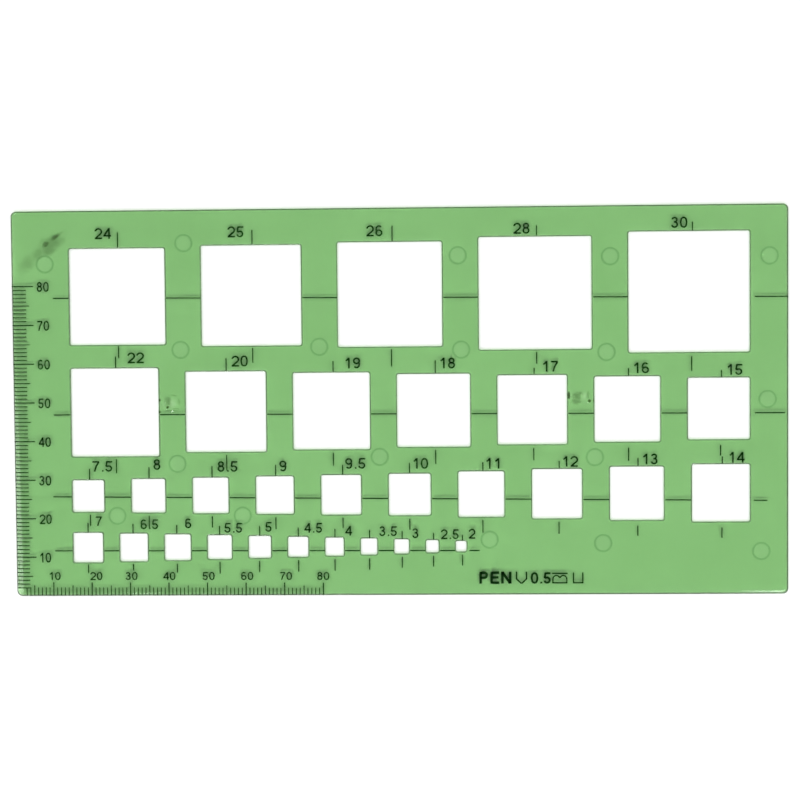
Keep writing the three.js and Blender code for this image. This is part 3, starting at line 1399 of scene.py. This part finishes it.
DIGIT_ADVANCE = 0.776
DIGIT_WIDTH = 0.69
SIX = (circle(0.345, 0.31, 0.243), Oval(0.345, 0.5, 0.252, 0.435, 0.225).hook(58))
GLYPHS = {
    "0": Glyph(DIGIT_ADVANCE, (Oval(0.345, 0.5, 0.262, 0.435, 0.225).whole(),)),
    "1": Glyph(
        DIGIT_ADVANCE, (straight(0.455, 0, 1, 90), Stroke(0.17, 0.7, 22, (Arc(0.42, 48),)))
    ),
    "2": Glyph(
        DIGIT_ADVANCE,
        (Stroke(0.085, 0.703, 82, (Arc(0.27, -220), Line(0.56))), straight(0.03, 0.062, 0.64)),
    ),
    "3": Glyph(
        DIGIT_ADVANCE,
        (
            Stroke(0.137, 0.787, 75, (Arc(0.2, -255), Line(0.06))),
            Stroke(0.335, 0.535, 0, (Arc(0.235, -262),)),
        ),
    ),
    "4": Glyph(
        DIGIT_ADVANCE,
        (
            straight(0.52, 0, 1, 90),
            straight(0.02, 0.295, 0.68),
            straight(0.505, 0.955, 0.79, 237),
        ),
    ),
    "5": Glyph(
        DIGIT_ADVANCE,
        (
            straight(0.15, 0.935, 0.5),
            straight(0.185, 0.98, 0.5, 261),
            Stroke(0.131, 0.441, 55, (Arc(0.24, -317),)),
        ),
    ),
    "6": Glyph(DIGIT_ADVANCE, SIX),
    "7": Glyph(
        DIGIT_ADVANCE, (straight(0.05, 0.935, 0.6), Stroke(0.62, 0.915, 232, (Arc(1.9, 30),)))
    ),
    "8": Glyph(DIGIT_ADVANCE, (circle(0.345, 0.735, 0.2), circle(0.345, 0.3, 0.235))),
    "9": Glyph(DIGIT_ADVANCE, turned_over(SIX, DIGIT_WIDTH)),
    ".": Glyph(0.388, (straight(0.19, 0, 0.15, 90),)),
    "P": Glyph(
        0.93,
        (
            straight(0.17, 0, 1, 90),
            Stroke(0.17, 0.925, 0, (Line(0.3), Arc(0.215, -180), Line(0.3))),
        ),
    ),
    "E": Glyph(
        0.9,
        (
            straight(0.17, 0, 1, 90),
            straight(0.17, 0.925, 0.62),
            straight(0.17, 0.52, 0.58),
            straight(0.17, 0.075, 0.64),
        ),
    ),
    "N": Glyph(
        1.0,
        (
            straight(0.17, 0, 1, 90),
            straight(0.83, 0, 1, 90),
            straight(0.17, 0.97, 1.15, -55.7),
        ),
    ),
    "nib": Glyph(
        1.0,
        (
            straight(0.06, 0.36, 0.64, 90),
            straight(0.9, 0.36, 0.64, 90),
            straight(0.04, 0.4, 0.59, -43),
            straight(0.92, 0.4, 0.59, 223),
        ),
    ),
    "wheel": Glyph(
        1.5,
        (
            straight(0.0, 0.92, 1.45),
            straight(0.09, 0.05, 1.27),
            Stroke(0.09, 0.0, 90, (Line(0.4), Arc(0.32, -165))),
            Stroke(1.36, 0.0, 90, (Line(0.4), Arc(0.32, 165))),
        ),
    ),
    "tray": Glyph(
        1.0,
        (
            straight(0.0, 0.05, 0.95),
            straight(0.05, 0, 1, 90),
            straight(0.9, 0, 1, 90),
        ),
    ),
}


@dataclass
class Lettering(Print):
    """Printed numbers and signs, drawn with a pen of even width."""

    weight: float = 0.148
    stretch: float = 1.0
    arc_step: float = 15.0

    def stroke(
        self, bm: bmesh.types.BMesh, stroke: Stroke, left: float, foot: float, height: float
    ) -> None:
        """Draws one stroke by drawing out and spinning one short edge.

        Args:
            bm: The mesh that gets it.
            stroke: The stroke.
            left: Where its glyph starts.
            foot: The height of the base line.
            height: The height of a capital.
        """
        half = self.weight * height / 2
        heading = math.radians(stroke.heading)
        point = Vector((left + stroke.x * height, foot + stroke.y * height, 0))
        across = Vector((-math.sin(heading), math.cos(heading), 0)) * half
        verts = [bm.verts.new(point + across), bm.verts.new(point - across)]
        edge = bm.edges.new(verts)
        for move in stroke.moves:
            ahead = Vector((math.cos(heading), math.sin(heading), 0))
            if isinstance(move, Line):
                drawn = bmesh.ops.extrude_edge_only(bm, edges=[edge])["geom"]
                ends = [part for part in drawn if isinstance(part, bmesh.types.BMVert)]
                way = ahead * move.length * height
                bmesh.ops.translate(bm, vec=way, verts=ends)
                edge = next(part for part in drawn if isinstance(part, bmesh.types.BMEdge))
                point += way
                continue
            turn = math.radians(move.angle)
            left_hand = Vector((-ahead.y, ahead.x, 0)) * math.copysign(1, move.angle)
            centre = point + left_hand * move.radius * height
            spun = bmesh.ops.spin(
                bm,
                geom=[edge, *edge.verts],
                cent=centre,
                axis=(0, 0, 1),
                dvec=(0, 0, 0),
                angle=turn,
                steps=max(1, round(abs(move.angle) / self.arc_step)),
                use_duplicate=False,
            )["geom_last"]
            edge = next(part for part in spun if isinstance(part, bmesh.types.BMEdge))
            point = centre + Matrix.Rotation(turn, 3, "Z") @ (point - centre)
            heading += turn

    def word(
        self, bm: bmesh.types.BMesh, text: Sequence[str], left: float, foot: float, height: float
    ) -> None:
        """Sets one word flat on the plate.

        Args:
            bm: The mesh that gets it.
            text: The word, sign by sign.
            left: Where its first stroke starts.
            foot: The height of its base line.
            height: The height of its capitals.
        """
        own = bmesh.new()
        place = 0.0
        for sign in text:
            glyph = GLYPHS[sign]
            for stroke in glyph.strokes:
                self.stroke(own, stroke, place, 0, height)
            place += glyph.advance * height
        bmesh.ops.remove_doubles(own, verts=own.verts[:], dist=1e-4)
        bmesh.ops.scale(own, vec=(self.stretch, 1, 1), verts=own.verts[:])
        start = min(vert.co.x for vert in own.verts)
        bmesh.ops.translate(own, vec=(left - start, foot, 0), verts=own.verts[:])
        bmesh.ops.recalc_face_normals(own, faces=own.faces[:])
        sheet = mesh_from("word", own)
        bm.from_mesh(sheet)
        bpy.data.meshes.remove(sheet)


@dataclass
class WindowNumbers(Lettering):
    """The size beside each window."""

    def build(self) -> None:
        """Builds one piece of print for each row of windows."""
        for row in self.plate.layout.rows:
            bm = bmesh.new()
            self.stretch = row.digit_stretch
            windows = self.plate.layout.windows(row)
            for size, window, (shift, rise) in zip(row.sizes, windows, row.number_places):
                left = window.middle[0] + shift
                self.word(bm, f"{size:g}", left, window.top + rise, row.digit_height)
            self.finish(f"row_{row.number}_numbers", bm)


@dataclass
class ScaleNumbers(Lettering):
    """The numbers of one scale, each beside its ten-millimetre mark."""

    edge: Edge = Edge.LEFT
    step: int = 10
    digit_height: float = 2.5
    inset: float = 6.18
    shifts: tuple[float, ...] = (-1.25,) * 8
    creep: float = 0.0047

    def build(self) -> bpy.types.Object:
        """Builds the scale's numbers.

        Returns:
            The numbers as one piece of print.
        """
        bm = bmesh.new()
        for index, shift in enumerate(self.shifts):
            along = (index + 1) * self.step
            across = self.inset + self.creep * along
            left, foot = (
                (across, along + shift) if self.edge is Edge.LEFT else (along + shift, across)
            )
            self.word(bm, str(along), left, foot, self.digit_height)
        return self.finish(f"{self.edge.value}_scale_numbers", bm)


@dataclass
class Legend(Lettering):
    """The line at the lower right that says which pens the windows allow for."""

    left: float = 119.85
    foot: float = 2.87
    height: float = 3.05
    signs: tuple[tuple[str, float, float, float], ...] = (
        ("PEN", 0.0, 1.0, 0.22),
        ("nib", 9.35, 1.0, 0.125),
        ("0.5", 13.15, 0.92, 0.19),
        ("wheel", 18.6, 0.92, 0.125),
        ("tray", 23.95, 0.92, 0.125),
    )

    def build(self) -> bpy.types.Object:
        """Builds the line of lettering.

        Returns:
            The line as one piece of print.
        """
        bm = bmesh.new()
        for text, shift, share, weight in self.signs:
            self.weight = weight
            signs = [text] if text in GLYPHS else text
            self.word(bm, signs, self.left + shift, self.foot, self.height * share)
        return self.finish("legend", bm)


@dataclass
class Studio:
    """The camera, the lamps, the table top and the white background."""

    camera_place: tuple[float, float, float] = (0.0208, 0.024356, 0.5127)
    camera_turn: tuple[float, float, float] = (-2.6848, 2.24791, -0.50451)
    lens: float = 90.0
    sensor: float = 36.0
    table_size: float = 6.0
    table_drop: float = 0.00005
    lamp_size: float = 0.45
    lamp_height: float = 1.35
    lamps: tuple[tuple[float, float, float], ...] = (
        (-0.35, -0.75, 1.0),
        (0.45, -0.65, 0.9),
        (0.75, 0.35, 0.55),
        (-0.7, 0.45, 0.55),
        (-1.3, -0.3, 0.22),
    )
    lamp_power: float = 8.5
    ambient: float = 0.22

    def aim_camera(self) -> None:
        """Sets the camera up where the photograph was taken from."""
        camera = bpy.data.cameras.new("camera")
        camera.lens = self.lens
        camera.sensor_width = self.sensor
        camera.clip_start = 0.01
        holder = bpy.data.objects.new("camera", camera)
        holder.location = self.camera_place
        holder.rotation_euler = [math.radians(turn) for turn in self.camera_turn]
        bpy.context.scene.collection.objects.link(holder)
        bpy.context.scene.camera = holder

    def lay_table(self) -> None:
        """Lays the table top just under the plate."""
        bm = bmesh.new()
        bmesh.ops.create_grid(bm, x_segments=1, y_segments=1, size=self.table_size / 2)
        bmesh.ops.translate(bm, vec=(0, 0, -self.table_drop), verts=bm.verts[:])
        mesh = mesh_from("table_top", bm)
        mesh.materials.append(TableTop().make())
        table = bpy.data.objects.new("table_top", mesh)
        bpy.context.scene.collection.objects.link(table)

    def hang_lamps(self) -> None:
        """Hangs the soft lamps round the table, the stronger ones on the reader's side."""
        for index, (x, y, share) in enumerate(self.lamps):
            light = bpy.data.lights.new(f"soft_lamp_{index + 1}", "AREA")
            light.shape = "DISK"
            light.size = self.lamp_size
            light.energy = self.lamp_power * share
            holder = bpy.data.objects.new(light.name, light)
            place = Vector((x, y, self.lamp_height))
            holder.location = place
            holder.rotation_euler = (-place).to_track_quat("-Z", "Y").to_euler()
            holder.visible_transmission = False
            bpy.context.scene.collection.objects.link(holder)

    def whiten_world(self) -> None:
        """Gives the world a white look and a weak, even light."""
        world = bpy.data.worlds.new("white_background")
        nodes = NodeTree(world)
        bounces = nodes.add("LightPath").outputs["Diffuse Depth"]
        direct = nodes.maths("LESS_THAN", bounces, 0.5)
        strength = nodes.add(
            "MapRange",
            {
                "Value": nodes.maths("MULTIPLY", nodes.watched_rays(), direct),
                "To Min": self.ambient,
                "To Max": 1.0,
            },
        ).outputs["Result"]
        light = nodes.add("Background", {"Color": WHITE, "Strength": strength})
        nodes.add("OutputWorld", {"Surface": light.outputs["Background"]})
        bpy.context.scene.world = world

    def build(self) -> None:
        """Builds everything round the template."""
        self.lay_table()
        self.hang_lamps()
        self.whiten_world()
        bpy.context.scene.view_settings.view_transform = "Standard"


def dress_frame_ink(ink: bpy.types.Material) -> None:
    """Gives every printed line of the frame the ink's material.

    Args:
        ink: The ink.
    """
    for name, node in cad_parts.items():
        if name == PLATE_NODE:
            continue
        for slot in node.material_slots:
            slot.material = ink


def main() -> None:
    """Builds the camera, the plate, its print and the studio in order."""
    logging.basicConfig(level=logging.INFO, format="%(name)s %(message)s")
    studio = Studio()
    studio.aim_camera()
    low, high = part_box(PLATE_NODE)
    size = (high - low) / MM
    plate = Plate(Layout(size.x), size.x, size.y, size.z)
    moulding = plate.build()
    moulding.data.materials.append(TintedPlastic().make(low))
    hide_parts(PLATE_NODE)
    log.info("%s: %d faces", moulding.name, len(moulding.data.polygons))
    ink = ScreenInk().make()
    dress_frame_ink(ink)
    CentreTicks(plate, ink).build()
    EdgeScale(plate, ink).build()
    EdgeScale(
        plate, ink, edge=Edge.LOWER, first=3, short=2.27, half=2.83, zero_shift=-0.33
    ).build()
    WindowNumbers(plate, ink).build()
    ScaleNumbers(plate, ink, stretch=0.88).build()
    ScaleNumbers(
        plate,
        ink,
        stretch=1.08,
        edge=Edge.LOWER,
        digit_height=2.05,
        inset=4.2,
        shifts=(-1.4, -0.8, -1.6, -1.8, -1.6, -1.6, -1.5, -1.9),
        creep=-0.003,
    ).build()
    Legend(plate, ink).build()
    studio.build()


if __name__ == "__main__":
    main()
